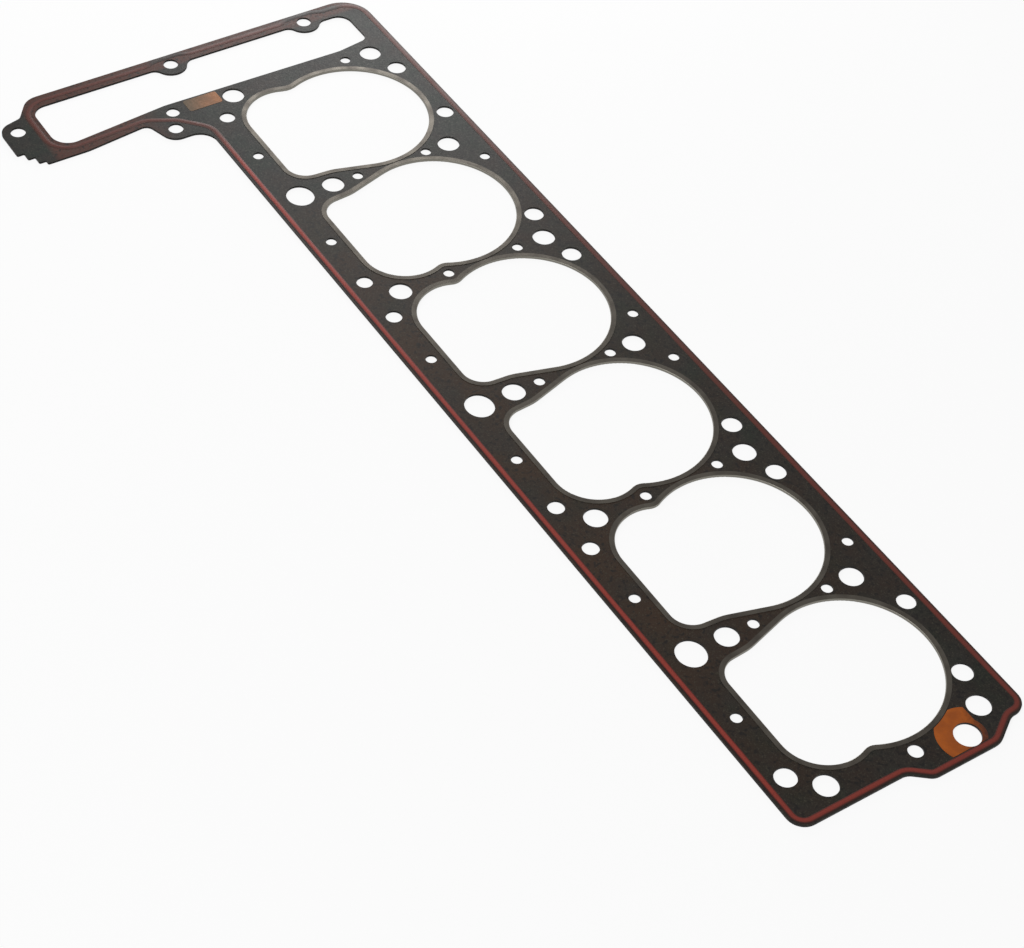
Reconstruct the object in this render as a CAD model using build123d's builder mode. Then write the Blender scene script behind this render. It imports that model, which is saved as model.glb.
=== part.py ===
"""Cylinder head gasket for a straight-six engine with a chain case at its front end.

A punched sheet of soft facing carries six folded steel rings round the cylinder openings,
a raised sealing bead on each face and two coated patches on each face.

Sizes are in millimetres. X runs along the engine from front to rear, Y across it and Z up.
Plan sizes are measured from the engine's middle and from the line of the cylinder axes,
and the origin is the middle of the finished gasket, on its underside.
"""

from build123d import *
import math
import os

os.makedirs("parts", exist_ok=True)

# Sheet, rings, bead and patches, from face to face
sheet_thickness = 1.3
ring_metal = 0.2
ring_flange = 2.9
ring_fold_radius = 0.35
ring_clearance = 0.1
bead_width = 3.6
bead_ridge_width = 1.5
bead_skirt_height = 0.08
bead_ridge_height = 0.08
patch_height = 0.08
trim_gap = 0.4

# Cylinder openings
cylinder_count = 6
opening_radius = 44.4
bridge_width = 6.4
opening_depth = 58.2
pocket_corner_radius = 24.0
foot_half_width = 13.2
foot_corner_radius = 12.0
knee_half_width = 11.7
knee_drop = 36.0
knee_radius = 30.0
front_swing_centre = (-55.0, -21.0)

# Head bolts
bolt_radius = 6.45
foot_bridge_bolts = (36.2, -41.7)
slim_bridge_bolts = (40.4, -54.1)
front_bolts = ((-47.9, 39.5), (-50.0, -53.5))
rear_bolts = ((46.6, 39.4), (46.6, -54.1))

# Coolant and oil holes in the bridges, by their height above or below the cylinder line
steam_hole_radius = 3.1
foot_bridge_steam_holes = (20.6, -25.4)
slim_bridge_steam_holes = (22.6, -22.9)
end_steam_hole_offset = 48.9
drain_drop = 63.2
drain_half_length = 8.7
drain_half_width = 7.95

# Coolant holes along the two long sides
upper_hole_height = 46.5
upper_hole_offset = 19.3
upper_hole_radius = 5.6
vent_height = 49.2
vent_offset = 19.4
vent_radius = 3.05
lower_hole_drop = 67.8
lower_hole_offset = 15.65
lower_hole_radius = 4.6
lower_vent_drop = 67.2
lower_vent_offset = 5.6
end_upper_hole_radius = 5.15
end_upper_hole_height = 50.2
end_upper_hole_offset = 21.3

# Long plate
upper_edge = 60.3
lower_edge = -81.2
front_corner_radius = 19.0

# Rear end, from the rear cylinder's axis
rear_shoulder_offset = 59.6
rear_edge_offset = 60.8
rear_bulge_offset = 69.2
rear_upper_corner_radius = 8.7
rear_lower_corner_radius = 9.5
rear_blend_radius = 8.0
bulge_upper_radius = 12.0
bulge_shoulder_y = 49.2
bulge_upper_y = 34.2
bulge_lower_y = -6.5
bulge_foot_y = -17.2
oil_feed_x = 57.5
oil_feed_y = 23.0
oil_feed_radius = 7.05
rear_dowel_x = 52.3
rear_dowel_y = -4.8
rear_dowel_radius = 4.0
rear_lower_hole_x = 33.5
rear_lower_hole_radius = 5.8
rear_upper_hole_x = 27.2
rear_upper_hole_y = 45.7

# Front end with the chain case, from the front cylinder's axis
front_edge_offset = 102.15
case_bolt_radius = 4.4
rail_bolt_offset = 93.5
rail_bolt_heights = (19.0, -72.3)
ear_bolt_x = -77.1
ear_bolt_y = -179.0
ear_radius = 9.3
lug_bolt_x = -38.4
lug_bolt_y = -97.5
lug_radius = 9.3
front_dowel_x = -52.3
front_dowel_y = -92.2
front_dowel_radius = 4.0
front_lower_hole_x = -33.5
front_lower_hole_y = -66.3
lug_root_radius = 11.0
lug_underside_angle = -72.0
arm_neck_x = -48.7
arm_neck_y = -110.7
arm_neck_radius = 5.0
arm_side_x = -44.0
arm_side_y = -150.0
arm_side_radius = 40.0
tab_step_count = 3
tab_step_run = 5.7
tab_step_drop = 4.2
tab_step_x = -46.9
tab_tip_radius = 1.0
tab_step_radius = 0.6
ear_side_angle = 194.0
ear_neck_x = -88.1
ear_neck_y = -172.9
ear_neck_radius = 3.5
rail_foot_y = -162.5
rail_foot_radius = 12.0

# Chain case window, from the front cylinder's axis
window_top = 45.4
window_bottom = -164.2
window_rail_x = -92.6
window_pocket_x = -89.8
window_top_corner_x = -61.3
window_upper_x = -58.1
window_upper_y = 24.0
window_lower_x = -60.0
window_lower_y = -94.0
window_foot_x = -52.9
window_corner_radius = 8.5
window_foot_radius = 11.0
window_tip_radius = 5.0
window_bend_radius = 25.0
rail_boss_radius = 9.75
rail_boss_blend = 6.0

# Sealing bead
bead_inset = 2.7
bead_upper_inset = 2.0
bead_rail_offset = 4.4
bead_bypass_gap = 0.45
bead_bypass_reach = 8.0
bead_bypass_ramp = 7.0
bead_bypass_radius = 12.0
bead_corner_radius = 14.0
bead_foot_y = -168.4
bead_right_rail_x = -49.4
bead_neck_x = -53.0
bead_neck_y = -110.0
bead_pass_x = -44.5
bead_pass_y = -93.0
bead_root_x = -30.0
bead_turn_radius = 14.0

# Coated patches
strip_width = 10.6
strip_length = 21.5
strip_corner_radius = 1.5
strip_top = -61.3
strip_window_margin = 1.4
crescent_radius = 16.2
crescent_top = 31.5
crescent_notch_x = -4.0
crescent_rim = 2.8

# Worked out from the sizes above
pitch = 2 * opening_radius + bridge_width
middle = (cylinder_count - 1) / 2
cylinders = [pitch * (number - middle) for number in range(cylinder_count)]
bridges = [x + pitch / 2 for x in cylinders[:-1]]
foot_bridges = bridges[0::2]
slim_bridges = bridges[1::2]
front_axis = cylinders[0]
rear_axis = cylinders[-1]
front_edge = front_axis - front_edge_offset
rear_bulge = rear_axis + rear_bulge_offset
ear_bottom = ear_bolt_y - ear_radius
bead_height = bead_skirt_height + bead_ridge_height
sheet_bottom = max(ring_metal, bead_height)
sheet_top = sheet_bottom + sheet_thickness
mid_x = (front_edge + rear_bulge) / 2
mid_y = (ear_bottom + upper_edge) / 2
datum = Plane((-mid_x, -mid_y, 0))

rail_bolts = [(front_axis - rail_bolt_offset, y) for y in rail_bolt_heights]
ear_bolt = (front_axis + ear_bolt_x, ear_bolt_y)
lug_bolt = (front_axis + lug_bolt_x, lug_bolt_y)
oil_feed = (rear_axis + oil_feed_x, oil_feed_y)


def tangent_corner(centre, radius, first_angle, second_angle):
    """Corner (x, y, radius) whose rounding is an arc about the centre.

    The two sides touch the circle at the two angles, so they meet at the mean angle, at the
    radius divided by the cosine of half the difference.
    """
    mean = math.radians((first_angle + second_angle) / 2)
    reach = radius / math.cos(math.radians((second_angle - first_angle) / 2))
    return (centre[0] + reach * math.cos(mean), centre[1] + reach * math.sin(mean), radius)


def inset_corners(corners, insets):
    """Corners of a path inside a clockwise outline, without its first and last corner.

    Each side moves inwards by its own inset, and a corner stands where its two sides meet. The
    radius of an outward corner shrinks by the inset of the side after it, and that of an inward
    corner grows by it.
    """
    moved = []
    for before, corner, after, inset_before, inset in zip(
        corners, corners[1:], corners[2:], insets, insets[1:]
    ):
        here = Vector(corner[0], corner[1])
        arriving = (here - Vector(before[0], before[1])).normalized()
        leaving = (Vector(after[0], after[1]) - here).normalized()
        turn = arriving.cross(leaving).Z
        place = here + (arriving * inset - leaving * inset_before) / turn
        radius = corner[2] - inset if turn < 0 else corner[2] + inset
        moved.append((place.X, place.Y, radius))
    return moved


def rounded_face(corners):
    """Flat face whose outline runs through the corners (x, y, radius)."""
    with BuildSketch() as face:
        with BuildLine():
            points = [(x, y) for x, y, radius in corners]
            radii = [radius for x, y, radius in corners]
            FilletPolyline(*points, radius=radii, close=True)
        make_face()
    return face.sketch


def corners_on_circle(sketch, centre, radius):
    """The sketch's corners that lie on a circle, as where a boss meets an edge."""
    middle_point = Vector(centre[0], centre[1])
    return [
        corner
        for corner in sketch.vertices()
        if abs((Vector(corner.X, corner.Y) - middle_point).length - radius) < 1e-3
    ]


def touch_point(point, radius, sense):
    """Where a line through the point touches a circle about the origin.

    Seen from the centre, the touching point stands off the point by the angle whose cosine
    is the radius over the distance. The sense, 1 or -1, chooses the side.
    """
    distance = math.hypot(point[0], point[1])
    angle = math.atan2(point[1], point[0]) + sense * math.acos(radius / distance)
    return (radius * math.cos(angle), radius * math.sin(angle))


def cylinder_opening(axis_x, side, swing_centre):
    """One opening: a round top over a flat-bottomed pocket.

    The side is 1 where the broad-footed bridge lies towards the rear, and -1 where it lies
    towards the front. On the other side the edge swings in, on an arc about the given centre
    which touches the round top and the pocket's corner.
    """
    half_pitch = pitch / 2
    swing = Vector(*swing_centre)
    swing_radius = swing.length - opening_radius
    corner_y = pocket_corner_radius - opening_depth
    reach = pocket_corner_radius + swing_radius
    corner_x = swing.X + math.sqrt(reach**2 - (corner_y - swing.Y) ** 2)
    pocket_corner = Vector(corner_x, corner_y)
    top_touch = swing.normalized() * opening_radius
    corner_touch = pocket_corner + (swing - pocket_corner).normalized() * pocket_corner_radius
    foot = (half_pitch - foot_half_width, -opening_depth)
    knee = (half_pitch - knee_half_width, -knee_drop)
    knee_touch = touch_point(knee, opening_radius, 1)

    def at(x, y):
        return (axis_x + side * x, y)

    with BuildSketch() as opening:
        with BuildLine():
            top = ThreePointArc(
                at(*knee_touch), at(0, opening_radius), at(top_touch.X, top_touch.Y)
            )
            bend = TangentArc(top @ 1, at(corner_touch.X, corner_touch.Y), tangent=top % 1)
            corner = TangentArc(bend @ 1, at(corner_x, -opening_depth), tangent=bend % 1)
            FilletPolyline(
                corner @ 1, at(*foot), at(*knee), top @ 0, radius=[foot_corner_radius, knee_radius]
            )
        make_face()
    return opening.sketch


# Outline of the sheet, clockwise from the front upper corner
plate_corners = [
    (front_edge, upper_edge, front_corner_radius),
    (rear_axis + rear_shoulder_offset, upper_edge, rear_upper_corner_radius),
    (rear_axis + rear_shoulder_offset, bulge_shoulder_y, rear_blend_radius),
    (rear_bulge, bulge_upper_y, bulge_upper_radius),
    (rear_bulge, bulge_lower_y, rear_blend_radius),
    (rear_axis + rear_edge_offset, bulge_foot_y, rear_blend_radius),
    (rear_axis + rear_edge_offset, lower_edge, rear_lower_corner_radius),
    (lug_bolt[0] + lug_radius, lower_edge, lug_root_radius),
]
tab_top = ear_bottom + tab_step_count * tab_step_drop
tab_steps = []
for number in range(tab_step_count):
    step_x = front_axis + tab_step_x - number * tab_step_run
    step_y = tab_top - number * tab_step_drop
    tab_steps.append((step_x, step_y, tab_step_radius))
    tab_steps.append((step_x, step_y - tab_step_drop, tab_tip_radius))
arm_corners = [
    tangent_corner(lug_bolt, lug_radius, 0, lug_underside_angle),
    (front_axis + arm_neck_x, arm_neck_y, arm_neck_radius),
    (front_axis + arm_side_x, arm_side_y, arm_side_radius),
    (front_axis + arm_side_x, tab_top, tab_tip_radius),
    *tab_steps,
    tangent_corner(ear_bolt, ear_radius, 270, ear_side_angle),
    (front_axis + ear_neck_x, ear_neck_y, ear_neck_radius),
    (front_edge, rail_foot_y, rail_foot_radius),
]
outline = rounded_face(plate_corners + arm_corners)

# Chain case window, with a boss round each bolt of the front rail
window_corners = [
    (front_axis + window_pocket_x, window_top, window_corner_radius),
    (front_axis + window_top_corner_x, window_top, window_tip_radius),
    (front_axis + window_upper_x, window_upper_y, window_bend_radius),
    (front_axis + window_lower_x, window_lower_y, window_bend_radius),
    (front_axis + window_foot_x, window_bottom, window_foot_radius),
    (front_axis + window_rail_x, window_bottom, window_corner_radius),
    (front_axis + window_rail_x, rail_bolt_heights[0], 0),
    (front_axis + window_pocket_x, rail_bolt_heights[0], 0),
]
with BuildSketch() as window:
    add(rounded_face(window_corners))
    with Locations(*rail_bolts):
        Circle(rail_boss_radius, mode=Mode.SUBTRACT)
    for rail_bolt in rail_bolts:
        fillet(corners_on_circle(window, rail_bolt, rail_boss_radius), radius=rail_boss_blend)

# Cylinder openings: each swings in round the steam hole of its slim bridge, and the first one
# less sharply, on a wider arc at the front end
slim_swing_centre = (-pitch / 2, slim_bridge_steam_holes[1])
swing_centres = [front_swing_centre] + [slim_swing_centre] * (cylinder_count - 1)
openings = [
    cylinder_opening(x, 1 if number % 2 == 0 else -1, centre)
    for number, (x, centre) in enumerate(zip(cylinders, swing_centres))
]

# Sealing bead, a closed path: round the long plate, then down and up the chain case arm
bead_rail = front_edge + bead_rail_offset
bead_bypass = rail_bolts[0][0] - case_bolt_radius - bead_bypass_gap - bead_width / 2
bead_insets = [bead_upper_inset] + [bead_inset] * (len(plate_corners) - 2)
bead_plate = inset_corners(plate_corners, bead_insets)
bead_arm = [
    (front_axis + bead_root_x, lower_edge + bead_inset, bead_turn_radius),
    (front_axis + bead_pass_x, bead_pass_y, bead_turn_radius),
    (front_axis + bead_neck_x, bead_neck_y, bead_turn_radius),
    (front_axis + bead_right_rail_x, bead_foot_y, bead_corner_radius),
    (bead_rail, bead_foot_y, bead_corner_radius),
]
bead_rail_path = [
    (x, height + offset, bead_bypass_radius)
    for height in reversed(rail_bolt_heights)
    for x, offset in (
        (bead_rail, -bead_bypass_reach - bead_bypass_ramp),
        (bead_bypass, -bead_bypass_reach),
        (bead_bypass, bead_bypass_reach),
        (bead_rail, bead_bypass_reach + bead_bypass_ramp),
    )
]
bead_start = (bead_rail, upper_edge - bead_upper_inset, bead_corner_radius)
bead_loop = rounded_face([bead_start] + bead_plate + bead_arm + bead_rail_path)


def bead_band(width):
    """Band of the given width, centred on the bead's path."""
    with BuildSketch() as band:
        offset(bead_loop, amount=width / 2)
        offset(bead_loop, amount=-width / 2, mode=Mode.SUBTRACT)
    return band.sketch


# Coated strip beside the window, between the front bolt and the front dowel hole
strip_left = front_axis + window_lower_x + strip_window_margin
with BuildSketch() as strip:
    with Locations((strip_left + strip_width / 2, strip_top - strip_length / 2)):
        RectangleRounded(strip_width, strip_length, strip_corner_radius)

# Coated crescent round the oil feed, kept off the ring, the bead and the bolt hole
with BuildSketch() as crescent:
    with Locations(oil_feed):
        Circle(crescent_radius)
    with Locations((oil_feed[0], crescent_top + crescent_radius)):
        Rectangle(3 * crescent_radius, 2 * crescent_radius, mode=Mode.SUBTRACT)
    with Locations((oil_feed[0] + crescent_notch_x + crescent_radius, oil_feed_y + crescent_radius)):
        Rectangle(2 * crescent_radius, 2 * crescent_radius, mode=Mode.SUBTRACT)
    with Locations(oil_feed):
        Circle(oil_feed_radius + crescent_rim)
        Circle(oil_feed_radius, mode=Mode.SUBTRACT)
    offset(openings[-1], amount=ring_flange + trim_gap, mode=Mode.SUBTRACT)
    offset(bead_loop, amount=-bead_width / 2 - trim_gap, mode=Mode.INTERSECT)

# The punched sheet: one laminate of facing and core
with BuildPart() as gasket_body:
    with BuildSketch(datum.offset(sheet_bottom)):
        add(outline)
        add(window.sketch, mode=Mode.SUBTRACT)
        for opening in openings:
            offset(opening, amount=ring_metal + ring_clearance, mode=Mode.SUBTRACT)

        # Head bolts
        with Locations(*[(x, y) for x in foot_bridges for y in foot_bridge_bolts]):
            Circle(bolt_radius, mode=Mode.SUBTRACT)
        with Locations(*[(x, y) for x in slim_bridges for y in slim_bridge_bolts]):
            Circle(bolt_radius, mode=Mode.SUBTRACT)
        with Locations(*[(front_axis + x, y) for x, y in front_bolts]):
            Circle(bolt_radius, mode=Mode.SUBTRACT)
        with Locations(*[(rear_axis + x, y) for x, y in rear_bolts]):
            Circle(bolt_radius, mode=Mode.SUBTRACT)

        # Steam holes and the large drains in the bridges
        with Locations(*[(x, y) for x in foot_bridges for y in foot_bridge_steam_holes]):
            Circle(steam_hole_radius, mode=Mode.SUBTRACT)
        with Locations(*[(x, y) for x in slim_bridges for y in slim_bridge_steam_holes]):
            Circle(steam_hole_radius, mode=Mode.SUBTRACT)
        with Locations((front_axis - end_steam_hole_offset, slim_bridge_steam_holes[0])):
            Circle(steam_hole_radius, mode=Mode.SUBTRACT)
        with Locations(*[(x, -drain_drop) for x in foot_bridges]):
            Ellipse(drain_half_length, drain_half_width, mode=Mode.SUBTRACT)

        # Coolant holes along the upper side
        upper_places = [x + upper_hole_offset * s for x in slim_bridges for s in (-1, 1)]
        upper_places.append(front_axis - pitch / 2 + upper_hole_offset)
        with Locations(*[(x, upper_hole_height) for x in upper_places]):
            Circle(upper_hole_radius, mode=Mode.SUBTRACT)
        with Locations((rear_axis + rear_upper_hole_x, rear_upper_hole_y)):
            Circle(upper_hole_radius, mode=Mode.SUBTRACT)
        end_upper_places = (front_axis + end_upper_hole_offset, rear_axis - end_upper_hole_offset)
        with Locations(*[(x, end_upper_hole_height) for x in end_upper_places]):
            Circle(end_upper_hole_radius, mode=Mode.SUBTRACT)
        vent_places = [x + vent_offset * s for x in foot_bridges for s in (-1, 1)]
        with Locations(*[(x, vent_height) for x in vent_places[1:-1]]):
            Circle(vent_radius, mode=Mode.SUBTRACT)

        # Coolant holes along the lower side
        lower_places = [x + lower_hole_offset * s for x in slim_bridges for s in (-1, 1)]
        with Locations(*[(x, -lower_hole_drop) for x in lower_places]):
            Circle(lower_hole_radius, mode=Mode.SUBTRACT)
        with Locations((front_axis + front_lower_hole_x, front_lower_hole_y)):
            Circle(lower_hole_radius, mode=Mode.SUBTRACT)
        with Locations((rear_axis + rear_lower_hole_x, -lower_hole_drop)):
            Circle(rear_lower_hole_radius, mode=Mode.SUBTRACT)
        lower_vents = [
            (x + (lower_vent_offset if number % 2 == 0 else -lower_vent_offset), -lower_vent_drop)
            for number, x in enumerate(cylinders)
        ]
        with Locations(*lower_vents):
            Circle(steam_hole_radius, mode=Mode.SUBTRACT)

        # Oil feed and dowel holes
        with Locations(oil_feed):
            Circle(oil_feed_radius, mode=Mode.SUBTRACT)
        with Locations((rear_axis + rear_dowel_x, rear_dowel_y)):
            Circle(rear_dowel_radius, mode=Mode.SUBTRACT)
        with Locations((front_axis + front_dowel_x, front_dowel_y)):
            Circle(front_dowel_radius, mode=Mode.SUBTRACT)

        # Chain case bolts
        with Locations(*rail_bolts, ear_bolt, lug_bolt):
            Circle(case_bolt_radius, mode=Mode.SUBTRACT)
    extrude(amount=sheet_thickness)
gasket_body.part.label = "gasket_body"
export_step(gasket_body.part, "parts/gasket_body.step")

# Folded steel rings: a wall in the opening and a flange on each face of the sheet
for number, opening in enumerate(openings, start=1):
    with BuildPart() as fire_ring:
        with BuildSketch(datum.offset(sheet_bottom - ring_metal)):
            offset(opening, amount=ring_flange)
            add(opening, mode=Mode.SUBTRACT)
        extrude(amount=sheet_thickness + 2 * ring_metal)
        flats = fire_ring.faces().filter_by(Axis.Z)
        folds = [edge for flat in flats for edge in flat.inner_wires()[0].edges()]
        fillet(folds, radius=ring_fold_radius)
        with BuildSketch(datum.offset(sheet_bottom)):
            offset(opening, amount=2 * ring_flange)
            offset(opening, amount=ring_metal, mode=Mode.SUBTRACT)
        extrude(amount=sheet_thickness, mode=Mode.SUBTRACT)
    fire_ring.part.label = f"fire_ring_{number}"
    export_step(fire_ring.part, f"parts/fire_ring_{number}.step")

# Sealing beads: a thin skirt with a ridge along its middle
skirt = bead_band(bead_width)
ridge = bead_band(bead_ridge_width)

with BuildPart() as seal_bead_top:
    with BuildSketch(datum.offset(sheet_top)):
        add(skirt)
    extrude(amount=bead_skirt_height)
    with BuildSketch(datum.offset(sheet_top + bead_skirt_height)):
        add(ridge)
    extrude(amount=bead_ridge_height)
seal_bead_top.part.label = "seal_bead_top"
export_step(seal_bead_top.part, "parts/seal_bead_top.step")

with BuildPart() as seal_bead_bottom:
    with BuildSketch(datum.offset(sheet_bottom)):
        add(skirt)
    extrude(amount=-bead_skirt_height)
    with BuildSketch(datum.offset(sheet_bottom - bead_skirt_height)):
        add(ridge)
    extrude(amount=-bead_ridge_height)
seal_bead_bottom.part.label = "seal_bead_bottom"
export_step(seal_bead_bottom.part, "parts/seal_bead_bottom.step")

# Coated patches on both faces
for name, shape in (("front_oil_patch", strip.sketch), ("rear_oil_patch", crescent.sketch)):
    for face, level, height in (
        ("top", sheet_top, patch_height),
        ("bottom", sheet_bottom, -patch_height),
    ):
        with BuildPart() as patch:
            with BuildSketch(datum.offset(level)):
                add(shape)
            extrude(amount=height)
        patch.part.label = f"{name}_{face}"
        export_step(patch.part, f"parts/{name}_{face}.step")
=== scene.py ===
import math

import bpy
import numpy as np
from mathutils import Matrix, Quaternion, Vector


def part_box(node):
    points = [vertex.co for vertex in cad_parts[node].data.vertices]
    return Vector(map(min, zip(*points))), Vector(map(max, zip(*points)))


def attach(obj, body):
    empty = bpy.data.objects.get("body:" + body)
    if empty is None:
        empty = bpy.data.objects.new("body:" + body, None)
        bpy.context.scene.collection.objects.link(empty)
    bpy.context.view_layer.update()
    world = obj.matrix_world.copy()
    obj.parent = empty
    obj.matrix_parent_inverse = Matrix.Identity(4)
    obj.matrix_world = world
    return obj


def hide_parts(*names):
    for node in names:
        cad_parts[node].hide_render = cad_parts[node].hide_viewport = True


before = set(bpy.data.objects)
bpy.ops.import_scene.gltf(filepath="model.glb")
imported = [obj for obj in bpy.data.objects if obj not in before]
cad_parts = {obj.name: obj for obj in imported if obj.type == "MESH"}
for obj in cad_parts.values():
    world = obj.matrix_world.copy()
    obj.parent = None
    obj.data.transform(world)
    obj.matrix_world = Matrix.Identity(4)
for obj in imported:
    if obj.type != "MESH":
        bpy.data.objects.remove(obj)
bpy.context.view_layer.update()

bl_info = {
    "name": "Head Gasket Dressing",
    "version": (1, 0, 0),
    "blender": (4, 5, 0),
    "location": "View3D > Sidebar > Gasket",
    "description": "Finishes a flat cylinder head gasket and sets up a plain studio round it",
    "category": "Object",
}

# Places are in metres: X runs along the engine to its rear end, Y across it, and Z upwards
MM = 0.001
RINGS = sorted(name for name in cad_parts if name.startswith("fire_ring"))
SHEET_LOW, SHEET_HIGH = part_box("gasket_body")
SHEET_MIDDLE = (SHEET_LOW.z + SHEET_HIGH.z) / 2
BEAD_LOW, BEAD_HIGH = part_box("seal_bead_top")

# The chain case arm lies in front of the first ring, and its front rail ends 12 mm behind the
# bead's outer side
ARM_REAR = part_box("fire_ring_1")[0].x
RAIL_REAR = BEAD_LOW.x + 12 * MM

# Corners of a CAD mesh are one where they agree to this many decimals of a metre, and a face is
# at a height where it lies within this distance of it
MERGE_DECIMALS = 7
LEVEL_TOLERANCE = 1e-6

# The bead's section: its skirt's height and its crown's spread, as shares of its full height and
# of its half width, how many points go over its top, and where those of its underside lie
SKIRT_HEIGHT = 0.45
CROWN_SPREAD = 0.5
TOP_POINTS = 13
UNDERSIDE = (0.5, 0.0, -0.5)

# Slow waves of the bead's width: how many go round the path, their phase and their share
WIDTH_WAVES = ((23, 0.4, 0.5), (57, 1.9, 0.3), (131, 4.0, 0.2))

# Between these lies nearly all that a noise texture gives
NOISE_LOW = 0.3
NOISE_HIGH = 0.7

# How far the floor reaches each way, and its height, a hair below the gasket
FLOOR_REACH = 12.0
FLOOR_LEVEL = -0.05 * MM

WHITE = (1.0, 1.0, 1.0, 1.0)


def srgb(code):
    """Linear RGBA of an sRGB hex colour: a power of 2.4, above a short straight toe."""
    parts = [int(code[place:place + 2], 16) / 255 for place in (1, 3, 5)]
    linear = [c / 12.92 if c <= 0.04045 else ((c + 0.055) / 1.055) ** 2.4 for c in parts]
    return (*linear, 1.0)


def add_node(tree, kind, inputs, **settings):
    """Adds a shader node with its settings, and sets or links its inputs.

    An input goes by its name, or by its number where others share that name. What is linked to it
    is a socket, or a node, which gives the first of its outputs that is in use.
    """
    node = tree.nodes.new("ShaderNode" + kind)
    for name, value in settings.items():
        setattr(node, name, value)
    for key, value in inputs.items():
        named = [socket for socket in node.inputs if socket.enabled and socket.name == key]
        socket = named[0] if named else node.inputs[key]
        if isinstance(value, bpy.types.Node):
            value = next(output for output in value.outputs if output.enabled)
        if isinstance(value, bpy.types.NodeSocket):
            tree.links.new(value, socket)
        else:
            socket.default_value = value
    return node


def new_material(name):
    """An empty node material, and its tree."""
    material = bpy.data.materials.new(name)
    material.use_nodes = True
    material.node_tree.nodes.clear()
    return material, material.node_tree


def dress(name, material):
    """Gives a CAD node's object one material."""
    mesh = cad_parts[name].data
    mesh.materials.clear()
    mesh.materials.append(material)


# Meshes

def outer_loop(name, level):
    """The outer outline of a CAD node's flat face at one height, anticlockwise, as plan points.

    Triangles at that height are gathered, their doubled corners are merged, and each side that
    no neighbour runs the other way is an outline edge. Those edges form a map from each corner to
    the next. The chain is read from it by doubling: a list of 2^k corners is followed by the same
    list moved on by 2^k steps, so that no corner is visited by a loop.
    """
    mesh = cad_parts[name].data
    mesh.calc_loop_triangles()
    corners = np.empty(len(mesh.vertices) * 3)
    mesh.vertices.foreach_get("co", corners)
    corners = np.round(corners.reshape(-1, 3), MERGE_DECIMALS)
    triangles = np.empty(len(mesh.loop_triangles) * 3, np.int32)
    mesh.loop_triangles.foreach_get("vertices", triangles)
    points, merged = np.unique(corners, axis=0, return_inverse=True)
    triangles = merged.reshape(-1)[triangles].reshape(-1, 3)
    triangles = triangles[np.abs(points[triangles, 2] - level).max(axis=1) < LEVEL_TOLERANCE]
    starts = triangles.reshape(-1)
    ends = np.roll(triangles, -1, axis=1).reshape(-1)
    count = len(points)
    lone = ~np.isin(starts * count + ends, ends * count + starts)
    step = np.arange(count)
    step[starts[lone]] = ends[lone]
    first = starts[lone][np.argmin(points[starts[lone], 0])]
    chain = np.array([first])
    while len(chain) < count:
        chain = np.concatenate([chain, step[chain]])
        step = step[step]
    returns = np.flatnonzero(chain[1:] == first)
    loop = points[chain[: returns[0] + 1], :2]
    beyond = np.roll(loop, -1, axis=0)
    twice_area = (loop[:, 0] * beyond[:, 1] - loop[:, 1] * beyond[:, 0]).sum()
    return loop if twice_area > 0 else loop[::-1]


def left_of(path):
    """Unit vectors to the left of a closed path.

    At each point that is the direction from the point before to the point after, turned by 90
    degrees.
    """
    along = np.roll(path, -1, axis=0) - np.roll(path, 1, axis=0)
    along /= np.linalg.norm(along, axis=1, keepdims=True)
    return np.stack([-along[:, 1], along[:, 0]], axis=1)


def even_path(path, spacing):
    """A closed path with evenly spaced points, and the distance along it to each."""
    closed = np.concatenate([path, path[:1]])
    reach = np.concatenate([[0], np.cumsum(np.linalg.norm(np.diff(closed, axis=0), axis=1))])
    stops = np.linspace(0, reach[-1], int(reach[-1] / spacing), endpoint=False)
    return np.stack([np.interp(stops, reach, closed[:, axis]) for axis in (0, 1)], axis=1), stops


def band_mesh(name, points, uv):
    """A smooth mesh from a grid of points, rows x columns x 3, closed along and across.

    Face (i, j) joins the points (i, j), (i + 1, j), (i + 1, j + 1) and (i, j + 1).
    """
    rows, columns = points.shape[:2]
    i, j = np.meshgrid(np.arange(rows), np.arange(columns), indexing="ij")
    row = i * columns
    next_row = (i + 1) % rows * columns
    beside = (j + 1) % columns
    faces = np.stack([row + j, next_row + j, next_row + beside, row + beside], axis=-1)
    mesh = bpy.data.meshes.new(name)
    mesh.from_pydata(points.reshape(-1, 3).tolist(), [], faces.reshape(-1, 4).tolist())
    layer = mesh.uv_layers.new(name="along_across")
    corner = np.empty(len(mesh.loops), np.int32)
    mesh.loops.foreach_get("vertex_index", corner)
    layer.uv.foreach_set("vector", uv.reshape(-1, 2)[corner].astype(np.float32).reshape(-1))
    mesh.polygons.foreach_set("use_smooth", np.ones(len(mesh.polygons), bool))
    mesh.update()
    return mesh


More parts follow.
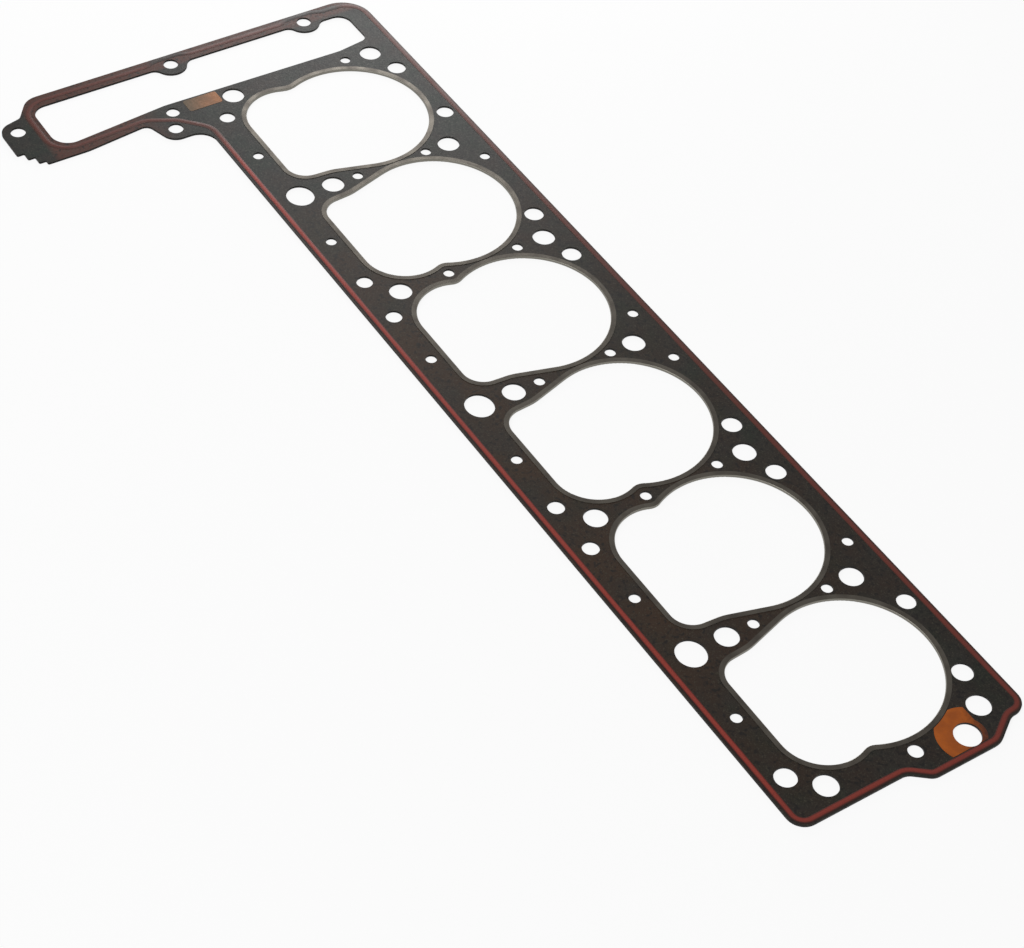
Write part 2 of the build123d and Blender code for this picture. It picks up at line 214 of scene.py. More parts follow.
def bead_mesh(name, node, level, rise, settings):
    """A closed band carried along the outline of a CAD bead, on the sheet's face at one height.

    Across the band t runs from -1 at its outer side to 1 at its inner one. The height over the
    sheet is the rise times the fourth root of (1 - t^2), times the skirt's height plus what that
    leaves of a bell-shaped crown, exp(-((t - crown place) / crown spread)^2). The flat underside
    closes the section. The half width wanders by three slow waves along the path. A bead with a
    negative rise hangs below the sheet, so its section runs the other way, to face outwards.
    """
    outline = outer_loop(node, level)
    centre = outline + left_of(outline) * settings.width / 2
    path, along = even_path(centre, settings.spacing)
    side = left_of(path)
    length = along[-1] + along[1]  # The last point lies one step short of the first
    wave = sum(
        np.sin(2 * np.pi * turns * along / length + phase) * share
        for turns, phase, share in WIDTH_WAVES
    )
    half = settings.width / 2 * (1 + settings.unevenness * wave)
    t = np.sin(np.linspace(-np.pi / 2, np.pi / 2, TOP_POINTS))
    skirt = np.clip(1 - t**2, 0, 1) ** 0.25
    crown = np.exp(-(((t - settings.crown_place) / CROWN_SPREAD) ** 2))
    top = skirt * (SKIRT_HEIGHT + (1 - SKIRT_HEIGHT) * crown)
    height = np.concatenate([top, np.zeros(len(UNDERSIDE))])
    across = np.concatenate([t, UNDERSIDE])
    if rise < 0:
        across = across[::-1]
        height = height[::-1]
    points = np.empty((len(path), len(across), 3))
    points[:, :, :2] = path[:, None] + side[:, None] * (half[:, None] * across)[:, :, None]
    points[:, :, 2] = level + rise * height
    uv = np.stack(np.broadcast_arrays(along[:, None], across[None]), axis=-1)
    return band_mesh(name, points, uv)


def place_piece(mesh, material, node):
    """Links a finished mesh that stands for a CAD node, and lets it move with it."""
    mesh.materials.append(material)
    piece = bpy.data.objects.new(mesh.name, mesh)
    bpy.context.scene.collection.objects.link(piece)
    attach(piece, "root")
    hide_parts(node)


# Materials

def levelness(tree):
    """How level the surface is: 1 where it faces straight up or down, and 0 where it is upright."""
    normal = add_node(tree, "NewGeometry", {}).outputs["Normal"]
    upward = add_node(tree, "SeparateXYZ", {"Vector": normal}).outputs["Z"]
    return add_node(tree, "Math", {0: upward}, operation="ABSOLUTE")


def apart(tree, value, place):
    """How far a value is from a fixed place, to either side: their difference without its sign."""
    offset = add_node(tree, "Math", {0: value, 1: place}, operation="SUBTRACT")
    return add_node(tree, "Math", {0: offset}, operation="ABSOLUTE")


def seen_directly(tree):
    """1 for rays from the camera, in reflections and through clear things, and 0 for others."""
    rays = add_node(tree, "LightPath", {}).outputs
    seen = add_node(
        tree, "Math", {0: rays["Is Camera Ray"], 1: rays["Is Glossy Ray"]}, operation="MAXIMUM"
    )
    return add_node(tree, "Math", {0: seen, 1: rays["Is Transmission Ray"]}, operation="MAXIMUM")


def facing_material(settings):
    """Graphite and aramid fibre facing, calendered onto a steel core.

    Graphite makes it nearly black, with a satin grey gleam only where a light is mirrored. The
    fibre ends give it fine flecks, drawn about three times as coarse as the real ones so that they
    show, and the calender rolls leave broad faint clouds. Its binder has browned it in stains, most
    of them along the lower side between the second cylinder and the fifth, and a thin film from the
    bead's print browns the narrow rails of the chain case arm.
    """
    tint_size = 17 * MM
    pit_size = 2.5 * settings.fleck_size
    material, tree = new_material("Graphite fibre facing")
    place = add_node(tree, "TexCoord", {}).outputs["Object"]
    spot = add_node(tree, "SeparateXYZ", {"Vector": place}).outputs
    cloud = add_node(
        tree, "TexNoise", {"Vector": place, "Scale": 1 / settings.cloud_size, "Detail": 3.0}
    )
    fleck = add_node(
        tree,
        "TexNoise",
        {"Vector": place, "Scale": 1 / settings.fleck_size, "Detail": 3.0, "Roughness": 0.7},
    )
    pit = add_node(tree, "TexNoise", {"Vector": place, "Scale": 1 / pit_size, "Detail": 1.0})

    # The tint is read from another part of the noise, so that it doesn't follow the clouds
    elsewhere = add_node(tree, "VectorMath", {0: place, 1: (0.3, 0.1, 0.0)}, operation="ADD")
    tint = add_node(tree, "TexNoise", {"Vector": elsewhere, "Scale": 1 / tint_size})

    cloudy = add_node(tree, "MapRange", {"Value": cloud, "From Min": 0.4, "From Max": 0.62})
    greenish = add_node(
        tree, "MapRange", {"Value": tint, "From Min": 0.5, "From Max": 0.68, "To Max": 0.7}
    )
    browned = add_node(
        tree, "MapRange", {"Value": tint, "From Min": 0.5, "From Max": 0.32, "To Max": 0.7}
    )
    pale = add_node(
        tree, "MapRange", {"Value": fleck, "From Min": 0.54, "From Max": 0.74, "To Max": 0.9}
    )
    pitted = add_node(
        tree, "MapRange", {"Value": pit, "From Min": 0.45, "From Max": 0.3, "To Max": 0.8}
    )

    # Stains: fewer along the upper side and at the rear end, and none at the front end
    stain = add_node(
        tree, "MapRange", {"Value": cloud, "From Min": 0.62, "From Max": 0.4, "To Min": 0.35}
    )
    low_down = add_node(
        tree,
        "MapRange",
        {"Value": spot["Y"], "From Min": SHEET_HIGH.y, "From Max": 0.0, "To Min": 0.25},
    )
    off_front = add_node(
        tree, "MapRange", {"Value": spot["X"], "From Min": -200 * MM, "From Max": -80 * MM}
    )
    off_rear = add_node(
        tree,
        "MapRange",
        {"Value": spot["X"], "From Min": SHEET_HIGH.x, "From Max": 180 * MM, "To Min": 0.3},
    )
    for share in (low_down, off_front, off_rear):
        stain = add_node(tree, "Math", {0: stain, 1: share}, operation="MULTIPLY")

    # The film lies on the front rail and round the window's lower end, and stops above the tab
    on_rail = add_node(
        tree,
        "MapRange",
        {"Value": spot["X"], "From Min": RAIL_REAR, "From Max": RAIL_REAR - 3 * MM},
    )
    down_arm = add_node(
        tree, "MapRange", {"Value": spot["Y"], "From Min": -36 * MM, "From Max": -54 * MM}
    )
    above_tab = add_node(
        tree,
        "MapRange",
        {"Value": spot["Y"], "From Min": BEAD_LOW.y - 1 * MM, "From Max": BEAD_LOW.y + 3 * MM},
    )
    film = add_node(tree, "Math", {0: on_rail, 1: down_arm}, operation="MAXIMUM")
    for share in (above_tab, settings.film_strength):
        film = add_node(tree, "Math", {0: film, 1: share}, operation="MULTIPLY")

    # The punched edge is rough and dark, and shows the steel core between the two facings
    half_core = settings.core_thickness / 2
    off_middle = apart(tree, spot["Z"], SHEET_MIDDLE)
    in_core = add_node(
        tree,
        "MapRange",
        {"Value": off_middle, "From Min": 1.2 * half_core, "From Max": 0.8 * half_core},
    )
    on_edge = add_node(
        tree, "MapRange", {"Value": levelness(tree), "From Min": 0.6, "From Max": 0.3}
    )
    on_core = add_node(tree, "Math", {0: in_core, 1: on_edge}, operation="MULTIPLY")

    # Each colour covers those before it by its share
    body = (*settings.colour, 1.0)
    for share, colour in (
        (cloudy, srgb("#21201d")),
        (greenish, srgb("#141e17")),
        (browned, srgb("#241b16")),
        (stain, (*settings.stain_colour, 1.0)),
        (film, (*settings.film_colour, 1.0)),
        (pale, (*settings.fleck_colour, 1.0)),
        (pitted, srgb("#0c0a09")),
        (on_edge, srgb("#0e0b09")),
        (on_core, srgb("#35312d")),
    ):
        body = add_node(tree, "Mix", {"Factor": share, "A": body, "B": colour}, data_type="RGBA")

    rough = add_node(
        tree,
        "MapRange",
        {
            "Value": fleck,
            "From Min": NOISE_LOW,
            "From Max": NOISE_HIGH,
            "To Min": 0.54,
            "To Max": 0.38,
        },
    )
    bump = add_node(tree, "Bump", {"Height": fleck, "Strength": 0.45, "Distance": 0.06 * MM})
    shader = add_node(
        tree,
        "BsdfPrincipled",
        {"Base Color": body, "Roughness": rough, "Specular IOR Level": 0.14, "Normal": bump},
    )
    add_node(tree, "OutputMaterial", {"Surface": shader})
    return material


def ring_material(settings):
    """Stainless strip, folded over the edge by a press, with darker graphite smears.

    The flat flanges are dull and kept dark, a painted dark reflection, and the fold and the wall
    get a painted highlight, a brighter steel where the surface leaves the level.
    """
    smear_size = 9 * MM
    scratch_size = 0.5 * MM
    material, tree = new_material("Stainless strip with painted fold highlight")
    place = add_node(tree, "TexCoord", {}).outputs["Object"]
    smear = add_node(tree, "TexNoise", {"Vector": place, "Scale": 1 / smear_size, "Detail": 3.0})
    scratch = add_node(
        tree,
        "TexNoise",
        {"Vector": place, "Scale": 1 / scratch_size, "Detail": 2.0, "Roughness": 0.7},
    )
    rubbed = add_node(tree, "MapRange", {"Value": smear, "From Min": 0.38, "From Max": 0.66})

    # The fold and the wall are where the surface leaves the level, and there a painted highlight
    # brightens the steel
    painted_fold_highlight = add_node(
        tree, "MapRange", {"Value": levelness(tree), "From Min": 0.98, "From Max": 0.8}
    )
    # The flat steel is kept dark as a painted dark reflection; the graphite smears darken it in
    # places
    steel = (*settings.colour, 1.0)
    for share, colour in ((rubbed, srgb("#3d3934")), (painted_fold_highlight, (*settings.fold_highlight_colour, 1.0))):
        steel = add_node(tree, "Mix", {"Factor": share, "A": steel, "B": colour}, data_type="RGBA")

    broad = add_node(
        tree,
        "MapRange",
        {
            "Value": smear,
            "From Min": NOISE_LOW,
            "From Max": NOISE_HIGH,
            "To Min": 0.34,
            "To Max": 0.46,
        },
    )
    fine = add_node(
        tree,
        "MapRange",
        {
            "Value": scratch,
            "From Min": NOISE_LOW,
            "From Max": NOISE_HIGH,
            "To Min": -0.05,
            "To Max": 0.05,
        },
    )
    rough = add_node(tree, "Math", {0: broad, 1: fine}, operation="ADD")
    bump = add_node(tree, "Bump", {"Height": scratch, "Strength": 0.2, "Distance": 0.02 * MM})
    shader = add_node(
        tree,
        "BsdfPrincipled",
        {"Base Color": steel, "Metallic": 1.0, "Roughness": rough, "Normal": bump},
    )
    add_node(tree, "OutputMaterial", {"Surface": shader})
    return material


def bead_material(settings):
    """Silicone bead, screen printed on the facing and cured.

    It is a dull satin red, with a painted highlight along its crown and painted shade on its sides,
    most of all on its outer one, where it also thins out. Painted shade darkens and browns it along
    the upper side, more so to the front, on the chain case arm and at the rear end. On the front
    rail it is worn off beside the two bolt bosses and above the upper one.
    """
    patch_size = 14 * MM
    speck_size = 0.7 * MM
    material, tree = new_material("Printed silicone bead")
    coordinates = add_node(tree, "TexCoord", {}).outputs
    place = coordinates["Object"]
    spot = add_node(tree, "SeparateXYZ", {"Vector": place}).outputs
    across = add_node(tree, "SeparateXYZ", {"Vector": coordinates["UV"]}).outputs["Y"]
    patch = add_node(tree, "TexNoise", {"Vector": place, "Scale": 1 / patch_size, "Detail": 3.0})
    speck = add_node(tree, "TexNoise", {"Vector": place, "Scale": 1 / speck_size})

    patchy = add_node(tree, "MapRange", {"Value": patch, "From Min": 0.35, "From Max": 0.65})
    # Painted shade on the outer side, where the bead also thins out
    outer = add_node(tree, "MapRange", {"Value": across, "From Min": -0.45, "From Max": -0.8})
    # Painted highlight along the crown
    crown = add_node(
        tree,
        "MapRange",
        {"Value": apart(tree, across, settings.crown_place), "From Min": 0.9, "From Max": 0.28},
        interpolation_type="SMOOTHSTEP",
    )
    specked = add_node(
        tree, "MapRange", {"Value": speck, "From Min": 0.5, "From Max": 0.75, "To Max": 0.35}
    )

    # Painted shade, darker and browner: the upper side, more so to the front, then the arm and the
    # rear end
    upper = add_node(
        tree, "MapRange", {"Value": spot["Y"], "From Min": 20 * MM, "From Max": BEAD_HIGH.y}
    )
    forward = add_node(
        tree,
        "MapRange",
        {"Value": spot["X"], "From Min": 300 * MM, "From Max": 50 * MM, "To Min": 0.7},
    )
    thin = add_node(tree, "Math", {0: upper, 1: forward}, operation="MULTIPLY")
    arm = add_node(
        tree,
        "MapRange",
        {"Value": spot["X"], "From Min": ARM_REAR + 60 * MM, "From Max": ARM_REAR + 20 * MM},
    )
    rear = add_node(
        tree,
        "MapRange",
        {
            "Value": spot["X"],
            "From Min": BEAD_HIGH.x - 50 * MM,
            "From Max": BEAD_HIGH.x,
            "To Max": 0.45,
        },
    )
    for share in (arm, rear):
        thin = add_node(tree, "Math", {0: thin, 1: share}, operation="MAXIMUM")
    thin = add_node(tree, "Math", {0: thin, 1: settings.painted_shade_strength}, operation="MULTIPLY")

    # Where it is worn off
    on_rail = add_node(
        tree,
        "MapRange",
        {"Value": spot["X"], "From Min": RAIL_REAR, "From Max": RAIL_REAR - 6 * MM, "To Max": 0.9},
    )
    worn = 0.0
    for height in settings.worn_heights:
        away = apart(tree, spot["Y"], height)
        near = add_node(tree, "MapRange", {"Value": away, "From Min": 16 * MM, "From Max": 9 * MM})
        worn = add_node(tree, "Math", {0: worn, 1: near}, operation="MAXIMUM")
    worn = add_node(tree, "Math", {0: worn, 1: on_rail}, operation="MULTIPLY")

    # Each colour covers those before it by its share
    red = (*settings.skirt_thinning_and_shade_colour, 1.0)
    for share, colour in (
        (patchy, srgb("#300f0c")),
        # Painted shade on the outer side
        (outer, srgb("#170806")),
        (crown, (*settings.crown_highlight_colour, 1.0)),
        (specked, srgb("#3a1714")),
        # Painted shade, darker and browner
        (thin, (*settings.painted_shade_colour, 1.0)),
        (worn, srgb("#1f1b18")),
    ):
        red = add_node(tree, "Mix", {"Factor": share, "A": red, "B": colour}, data_type="RGBA")

    rough = add_node(
        tree,
        "MapRange",
        {
            "Value": patch,
            "From Min": NOISE_LOW,
            "From Max": NOISE_HIGH,
            "To Min": 0.38,
            "To Max": 0.48,
        },
    )
    bump = add_node(tree, "Bump", {"Height": speck, "Strength": 0.2, "Distance": 0.03 * MM})
    shader = add_node(
        tree,
        "BsdfPrincipled",
        {"Base Color": red, "Roughness": rough, "Specular IOR Level": 0.16, "Normal": bump},
    )
    add_node(tree, "OutputMaterial", {"Surface": shader})
    return material


def coat_material(name, colours, start, end):
    """Sealing coat, brushed on and cured: half clear, so that the facing darkens it where it thins.

    Its colours are those of its thick parts, of its thinner ones and of its end. It runs out from
    its start towards its end, two points on the sheet, with soft brush streaks.
    """
    pool_size = 7 * MM
    streak_size = 1.2 * MM
    material, tree = new_material(name)
    place = add_node(tree, "TexCoord", {}).outputs["Object"]
    pool = add_node(tree, "TexNoise", {"Vector": place, "Scale": 1 / pool_size})
    streak = add_node(tree, "TexNoise", {"Vector": place, "Scale": 1 / streak_size, "Detail": 3.0})
    pooled = add_node(tree, "MapRange", {"Value": pool, "From Min": 0.35, "From Max": 0.65})

    # How far along it a point is: its offset from the start, measured along the line to the end
    run = (end - start).to_3d()
    offset = add_node(tree, "VectorMath", {0: place, 1: start.to_3d()}, operation="SUBTRACT")
    along = add_node(
        tree, "VectorMath", {0: offset, 1: run / run.length_squared}, operation="DOT_PRODUCT"
    ).outputs["Value"]
    brushed = add_node(
        tree,
        "MapRange",
        {
            "Value": streak,
            "From Min": NOISE_LOW,
            "From Max": NOISE_HIGH,
            "To Min": -0.1,
            "To Max": 0.1,
        },
    )
    faded = add_node(tree, "Math", {0: along, 1: brushed}, operation="ADD")
    faded = add_node(tree, "MapRange", {"Value": faded}, interpolation_type="SMOOTHSTEP")

    thick, thinner, edge = ((*colour, 1.0) for colour in colours)
    brown = thick
    for share, colour in ((pooled, thinner), (faded, edge)):
        brown = add_node(tree, "Mix", {"Factor": share, "A": brown, "B": colour}, data_type="RGBA")

    rough = add_node(
        tree,
        "MapRange",
        {
            "Value": streak,
            "From Min": NOISE_LOW,
            "From Max": NOISE_HIGH,
            "To Min": 0.36,
            "To Max": 0.5,
        },
    )
    bump = add_node(tree, "Bump", {"Height": pool, "Strength": 0.25, "Distance": 0.1 * MM})
    shader = add_node(
        tree,
        "BsdfPrincipled",
        {"Base Color": brown, "Roughness": rough, "Specular IOR Level": 0.18, "Normal": bump},
    )
    add_node(tree, "OutputMaterial", {"Surface": shader})
    return material


def paper_floor_material(settings):
    """Matt white studio paper, pressed and uncoated.

    It is white to the camera and in reflections, and keeps the object's soft shadow.
    """
    material, tree = new_material("Studio paper")
    paper = add_node(
        tree,
        "BsdfPrincipled",
        {"Base Color": (*settings.floor_colour, 1.0), "Roughness": 0.9, "Specular IOR Level": 0.0},
    )
    share = add_node(
        tree, "Math", {0: seen_directly(tree), 1: settings.floor_glow}, operation="MULTIPLY"
    )
    white = add_node(tree, "Emission", {"Color": WHITE, "Strength": 1.0})
    mixed = add_node(tree, "MixShader", {0: share, 1: paper, 2: white})
    add_node(tree, "OutputMaterial", {"Surface": mixed})
    return material


# Settings

class FacingSettings(bpy.types.PropertyGroup):
    """Finish of the sheet."""

    colour: bpy.props.FloatVectorProperty(
        name="Facing Colour", description="Main colour of the graphite facing",
        subtype="COLOR", size=3, min=0.0, max=1.0, default=srgb("#181714")[:3],
    )
    stain_colour: bpy.props.FloatVectorProperty(
        name="Stain Colour", description="Colour of the browned binder in the facing",
        subtype="COLOR", size=3, min=0.0, max=1.0, default=srgb("#302115")[:3],
    )
    film_colour: bpy.props.FloatVectorProperty(
        name="Film Colour", description="Colour of the thin film on the chain case arm",
        subtype="COLOR", size=3, min=0.0, max=1.0, default=srgb("#4a281f")[:3],
    )
    film_strength: bpy.props.FloatProperty(
        name="Film Strength", description="How far the film covers the facing",
        subtype="FACTOR", default=0.85, min=0.0, max=1.0,
    )
    fleck_colour: bpy.props.FloatVectorProperty(
        name="Fleck Colour", description="Colour of the pale fibre ends in the facing",
        subtype="COLOR", size=3, min=0.0, max=1.0, default=srgb("#454136")[:3],
    )
    fleck_size: bpy.props.FloatProperty(
        name="Fleck Size", description="Width of a fleck, drawn coarser than a real fibre",
        subtype="DISTANCE", unit="LENGTH", default=0.9 * MM, min=0.05 * MM,
    )
    cloud_size: bpy.props.FloatProperty(
        name="Cloud Size", description="Width of the lighter and darker clouds in the facing",
        subtype="DISTANCE", unit="LENGTH", default=28 * MM, min=1 * MM,
    )
    core_thickness: bpy.props.FloatProperty(
        name="Core Thickness", description="Thickness of the steel core, seen in punched edges",
        subtype="DISTANCE", unit="LENGTH", default=0.25 * MM, min=0.05 * MM,
    )


class RingSettings(bpy.types.PropertyGroup):
    """Finish of the steel rings."""

    # Kept dark as a painted dark reflection on the flat flanges
    colour: bpy.props.FloatVectorProperty(
        name="Steel Colour", description="Colour of the folded steel",
        subtype="COLOR", size=3, min=0.0, max=1.0, default=srgb("#4b4741")[:3],
    )
    # A painted highlight on the fold and the wall
    fold_highlight_colour: bpy.props.FloatVectorProperty(
        name="Fold Highlight Colour", description="Colour of the steel on its fold and its wall",
        subtype="COLOR", size=3, min=0.0, max=1.0, default=srgb("#7e7b73")[:3],
    )


class BeadSettings(bpy.types.PropertyGroup):
    """Shape and finish of the sealing beads."""

    # A painted highlight along the crown
    crown_highlight_colour: bpy.props.FloatVectorProperty(
        name="Crown Highlight Colour", description="Colour of the bead along its crown",
        subtype="COLOR", size=3, min=0.0, max=1.0, default=srgb("#90392f")[:3],
    )
    # Darker partly where the bead thins out at its sides and partly as painted shade
    skirt_thinning_and_shade_colour: bpy.props.FloatVectorProperty(
        name="Skirt Thinning And Shade Colour", description="Colour of the bead where it thins out at its sides",
        subtype="COLOR", size=3, min=0.0, max=1.0, default=srgb("#431510")[:3],
    )
    # Painted shade: a darker, browner bead along the upper side, the front, the arm and the rear
    # end
    painted_shade_colour: bpy.props.FloatVectorProperty(
        name="Painted Shade Colour", description="Colour of the bead where its print is thin",
        subtype="COLOR", size=3, min=0.0, max=1.0, default=srgb("#42271f")[:3],
    )
    # How far the painted shade covers those places
    painted_shade_strength: bpy.props.FloatProperty(
        name="Painted Shade Strength", description="How far the thin colour covers thinly printed bead",
        subtype="FACTOR", default=0.85, min=0.0, max=1.0,
    )
    spacing: bpy.props.FloatProperty(
        name="Path Spacing", description="Distance between cross-sections along the bead",
        subtype="DISTANCE", unit="LENGTH", default=1.0 * MM, min=0.2 * MM,
    )
    width: bpy.props.FloatProperty(
        name="Bead Width", description="Width of the bead on the facing",
        subtype="DISTANCE", unit="LENGTH", default=3.6 * MM, min=0.5 * MM,
    )
    crown_place: bpy.props.FloatProperty(
        name="Crown Place", description="From 0 in the middle of the bead to 1 at its inner side",
        subtype="FACTOR", default=0.14, min=-1.0, max=1.0,
    )
    unevenness: bpy.props.FloatProperty(
        name="Unevenness", description="How much the width wanders, as a share of it",
        subtype="FACTOR", default=0.05, min=0.0, max=0.3,
    )
    worn_heights: bpy.props.FloatVectorProperty(
        name="Worn Heights", description="Places along the front rail where the bead is worn off",
        subtype="XYZ", unit="LENGTH", size=3, default=(-8.3 * MM, 83.0 * MM, 98.0 * MM),
    )


class CoatSettings(bpy.types.PropertyGroup):
    """Finish of the coated patches."""

    front_thick_colour: bpy.props.FloatVectorProperty(
        name="Front Thick Colour", description="Colour of the front coat where it has pooled",
        subtype="COLOR", size=3, min=0.0, max=1.0, default=srgb("#965d2e")[:3],
    )
    front_thinner_colour: bpy.props.FloatVectorProperty(
        name="Front Thinner Colour", description="Colour of the front coat between its pools",
        subtype="COLOR", size=3, min=0.0, max=1.0, default=srgb("#81502a")[:3],
    )
    front_edge_colour: bpy.props.FloatVectorProperty(
        name="Front Edge Colour", description="Colour of the front coat where it runs out",
        subtype="COLOR", size=3, min=0.0, max=1.0, default=srgb("#4c3a1f")[:3],
    )
    rear_thick_colour: bpy.props.FloatVectorProperty(
        name="Rear Thick Colour", description="Colour of the rear coat where it has pooled",
        subtype="COLOR", size=3, min=0.0, max=1.0, default=srgb("#ab581a")[:3],
    )
    rear_thinner_colour: bpy.props.FloatVectorProperty(
        name="Rear Thinner Colour", description="Colour of the rear coat between its pools",
        subtype="COLOR", size=3, min=0.0, max=1.0, default=srgb("#944a16")[:3],
    )
    rear_edge_colour: bpy.props.FloatVectorProperty(
        name="Rear Edge Colour", description="Colour of the rear coat where it runs out",
        subtype="COLOR", size=3, min=0.0, max=1.0, default=srgb("#3f1d12")[:3],
    )


class StudioSettings(bpy.types.PropertyGroup):
    """Floor, light and camera."""

    floor_colour: bpy.props.FloatVectorProperty(
        name="Floor Colour", description="Colour of the studio paper",
        subtype="COLOR", size=3, min=0.0, max=1.0, default=(0.9, 0.9, 0.9),
    )
    floor_glow: bpy.props.FloatProperty(
        name="Floor Whiteness", description="Share of plain white in what the camera sees of it",
        subtype="FACTOR", default=0.88, min=0.0, max=1.0,
    )
    surroundings: bpy.props.FloatProperty(
        name="Surroundings", description="Strength of the light from all round",
        subtype="FACTOR", default=0.35, min=0.0, max=1.0,
    )
    key_power: bpy.props.FloatProperty(
        name="Key Power", description="Power of the broad light at the side",
        subtype="POWER", unit="POWER", default=20.0, min=0.0,
    )
    panel_power: bpy.props.FloatProperty(
        name="Panel Power", description="Power of the small light at the far end",
        subtype="POWER", unit="POWER", default=3.4, min=0.0,
    )
    azimuth: bpy.props.FloatProperty(
        name="Azimuth", description="Direction in which the camera looks, from +Y towards -X",
        subtype="ANGLE", unit="ROTATION", default=math.radians(52.38),
    )
    elevation: bpy.props.FloatProperty(
        name="Elevation", description="Height of the camera above the horizon",
        subtype="ANGLE", unit="ROTATION", default=math.radians(46.97),
    )
    roll: bpy.props.FloatProperty(
        name="Roll", description="Turn of the camera about its own axis",
        subtype="ANGLE", unit="ROTATION", default=math.radians(6.32),
    )
    distance: bpy.props.FloatProperty(
        name="Distance", description="Distance from the camera to the point it looks at",
        subtype="DISTANCE", unit="LENGTH", default=1.2115,
    )
    aim_x: bpy.props.FloatProperty(
        name="Aim X", description="Place on the gasket that the camera looks at, along the engine",
        subtype="DISTANCE", unit="LENGTH", default=65.4 * MM,
    )
    aim_y: bpy.props.FloatProperty(
        name="Aim Y", description="Place on the gasket that the camera looks at, across the engine",
        subtype="DISTANCE", unit="LENGTH", default=-10.6 * MM,
    )
    lens: bpy.props.FloatProperty(
        name="Focal Length", description="Focal length on a 36 mm wide sensor, in millimetres",
        subtype="NONE", default=83.14, min=10.0,
    )


# Operators

class GASKET_OT_facing(bpy.types.Operator):
    """Gives the punched sheet its graphite facing"""

    bl_idname = "gasket.facing"
    bl_label = "Facing"

    def execute(self, context):
        dress("gasket_body", facing_material(context.scene.gasket_facing))
        return {"FINISHED"}


class GASKET_OT_fire_rings(bpy.types.Operator):
    """Gives the folded rings their steel"""

    bl_idname = "gasket.fire_rings"
    bl_label = "Fire Rings"

    def execute(self, context):
        steel = ring_material(context.scene.gasket_ring)
        for name in RINGS:
            dress(name, steel)
        return {"FINISHED"}


class GASKET_OT_seal_beads(bpy.types.Operator):
    """Models the domed sealing bead on each face"""

    bl_idname = "gasket.seal_beads"
    bl_label = "Sealing Beads"

    def execute(self, context):
        settings = context.scene.gasket_bead
        silicone = bead_material(settings)
        for name, node, level, rise in (
            ("bead_top", "seal_bead_top", BEAD_LOW.z, BEAD_HIGH.z - BEAD_LOW.z),
            ("bead_bottom", "seal_bead_bottom", SHEET_LOW.z, BEAD_LOW.z - BEAD_HIGH.z),
        ):
            place_piece(bead_mesh(name, node, level, rise, settings), silicone, node)
        return {"FINISHED"}


class GASKET_OT_oil_patches(bpy.types.Operator):
    """Gives the coated patches their colours"""

    bl_idname = "gasket.oil_patches"
    bl_label = "Oil Patches"

    def execute(self, context):
        settings = context.scene.gasket_coat
        front_low, front_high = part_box("front_oil_patch_top")
        rear_low, rear_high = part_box("rear_oil_patch_top")
        rear_middle = (rear_low.xy + rear_high.xy) / 2
        parts = ("thick", "thinner", "edge")
        for end, name, start, finish in (
            ("front", "Orange-brown sealing coat", front_high.xy, front_low.xy),
            ("rear", "Brown sealing coat", rear_middle, rear_high.xy),
        ):
            colours = [getattr(settings, f"{end}_{part}_colour") for part in parts]
            coat = coat_material(name, colours, start, finish)
            for face in ("top", "bottom"):
                dress(f"{end}_oil_patch_{face}", coat)
        return {"FINISHED"}


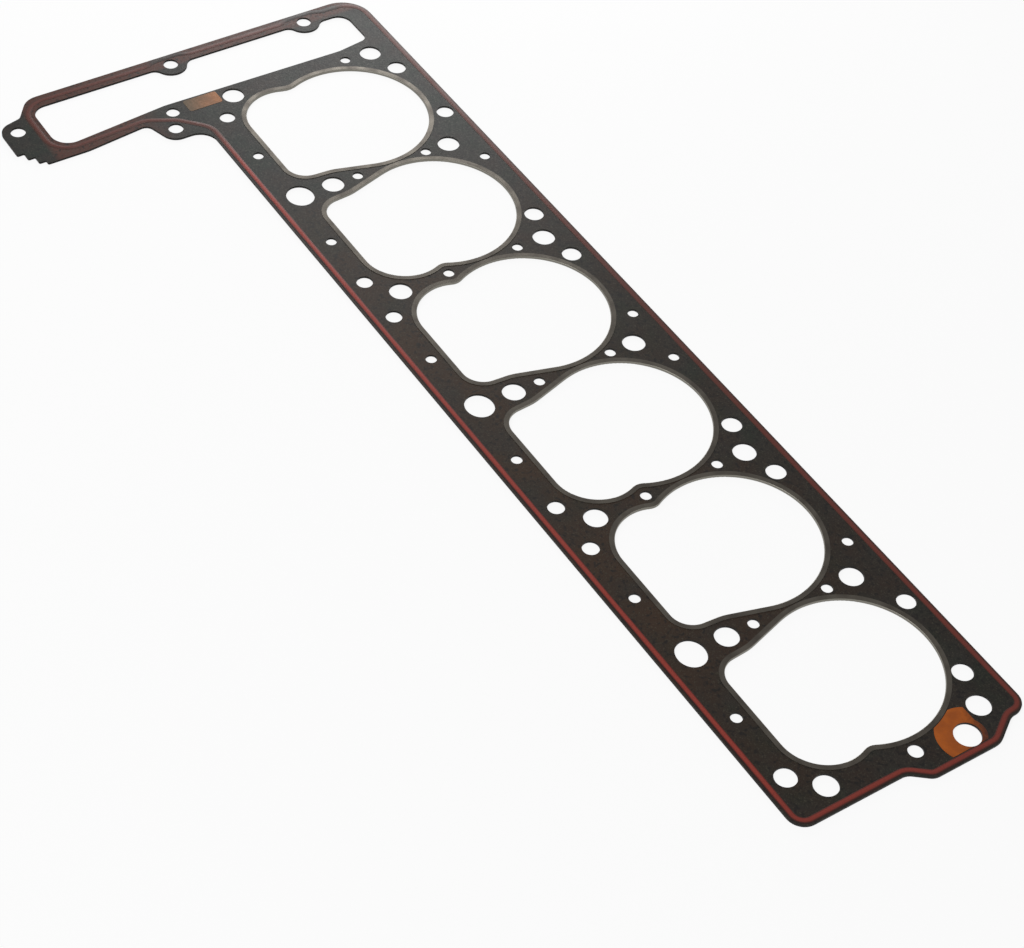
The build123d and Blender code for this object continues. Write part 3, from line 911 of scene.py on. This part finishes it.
class GASKET_OT_studio(bpy.types.Operator):
    """Sets up the floor, the lights and the camera"""

    bl_idname = "gasket.studio"
    bl_label = "Studio"

    def execute(self, context):
        scene = context.scene
        settings = scene.gasket_studio
        scene.view_settings.view_transform = "Standard"
        self.add_floor(scene, settings)
        self.add_world(scene, settings)
        self.add_lights(scene, settings)
        self.add_camera(scene, settings)
        return {"FINISHED"}

    @staticmethod
    def add_floor(scene, settings):
        """One square of paper under the object."""
        mesh = bpy.data.meshes.new("floor")
        signs = ((-1, -1), (1, -1), (1, 1), (-1, 1))
        corners = [(x * FLOOR_REACH, y * FLOOR_REACH, FLOOR_LEVEL) for x, y in signs]
        mesh.from_pydata(corners, [], [(0, 1, 2, 3)])
        mesh.materials.append(paper_floor_material(settings))
        floor = bpy.data.objects.new("floor", mesh)
        scene.collection.objects.link(floor)

    @staticmethod
    def add_world(scene, settings):
        """Plain grey surroundings that light the object, and plain white where they are seen."""
        world = bpy.data.worlds.new("Studio surroundings")
        world.use_nodes = True
        tree = world.node_tree
        tree.nodes.clear()
        grey = add_node(tree, "Background", {"Color": WHITE, "Strength": settings.surroundings})
        white = add_node(tree, "Background", {"Color": WHITE, "Strength": 1.0})
        mixed = add_node(tree, "MixShader", {0: seen_directly(tree), 1: grey, 2: white})
        add_node(tree, "OutputWorld", {"Surface": mixed})
        scene.world = world

    @staticmethod
    def add_lights(scene, settings):
        """A broad soft key from the side, and a panel whose gleam lies on the sheet's far end."""
        for name, place, aim, width, power in (
            ("key", (0.1, -1.3, 1.6), (0.0, 0.0, 0.0), 1.2, settings.key_power),
            ("far_panel", (-0.745, 0.405, 0.28), (-0.22, 0.06, 0.0), 0.4, settings.panel_power),
        ):
            light = bpy.data.lights.new(name, "AREA")
            light.shape = "SQUARE"
            light.size = width
            light.energy = power
            lamp = bpy.data.objects.new(name, light)
            lamp.location = place
            lamp.rotation_mode = "QUATERNION"
            lamp.rotation_quaternion = (Vector(aim) - Vector(place)).to_track_quat("-Z", "Y")
            lamp.visible_camera = False
            scene.collection.objects.link(lamp)

    @staticmethod
    def add_camera(scene, settings):
        """A camera at its distance from a point on the sheet, turned about the line to it."""
        flat = math.cos(settings.elevation)
        back = Vector((
            math.sin(settings.azimuth) * flat,
            -math.cos(settings.azimuth) * flat,
            math.sin(settings.elevation),
        ))
        aim = Vector((settings.aim_x, settings.aim_y, SHEET_MIDDLE))
        upright = (-back).to_track_quat("-Z", "Y")
        camera = bpy.data.objects.new("camera", bpy.data.cameras.new("camera"))
        camera.location = aim + back * settings.distance
        camera.rotation_mode = "QUATERNION"
        camera.rotation_quaternion = upright @ Quaternion((0, 0, 1), settings.roll)
        camera.data.lens = settings.lens
        camera.data.clip_start = 50 * MM
        scene.collection.objects.link(camera)
        scene.camera = camera


class GASKET_PT_panel(bpy.types.Panel):
    """Lists the settings and the steps"""

    bl_label = "Gasket"
    bl_idname = "GASKET_PT_panel"
    bl_space_type = "VIEW_3D"
    bl_region_type = "UI"
    bl_category = "Gasket"

    def draw(self, context):
        for group_name, group, operator in STEPS:
            box = self.layout.box()
            for name in group.__annotations__:
                box.prop(getattr(context.scene, group_name), name)
            box.operator(operator.bl_idname)


STEPS = (
    ("gasket_facing", FacingSettings, GASKET_OT_facing),
    ("gasket_ring", RingSettings, GASKET_OT_fire_rings),
    ("gasket_bead", BeadSettings, GASKET_OT_seal_beads),
    ("gasket_coat", CoatSettings, GASKET_OT_oil_patches),
    ("gasket_studio", StudioSettings, GASKET_OT_studio),
)


def register():
    for group_name, group, operator in STEPS:
        bpy.utils.register_class(group)
        setattr(bpy.types.Scene, group_name, bpy.props.PointerProperty(type=group))
        bpy.utils.register_class(operator)
    bpy.utils.register_class(GASKET_PT_panel)


def unregister():
    bpy.utils.unregister_class(GASKET_PT_panel)
    for group_name, group, operator in reversed(STEPS):
        bpy.utils.unregister_class(operator)
        delattr(bpy.types.Scene, group_name)
        bpy.utils.unregister_class(group)


def main():
    register()
    bpy.ops.gasket.facing()
    bpy.ops.gasket.fire_rings()
    bpy.ops.gasket.seal_beads()
    bpy.ops.gasket.oil_patches()
    bpy.ops.gasket.studio()


if __name__ == "__main__":
    main()
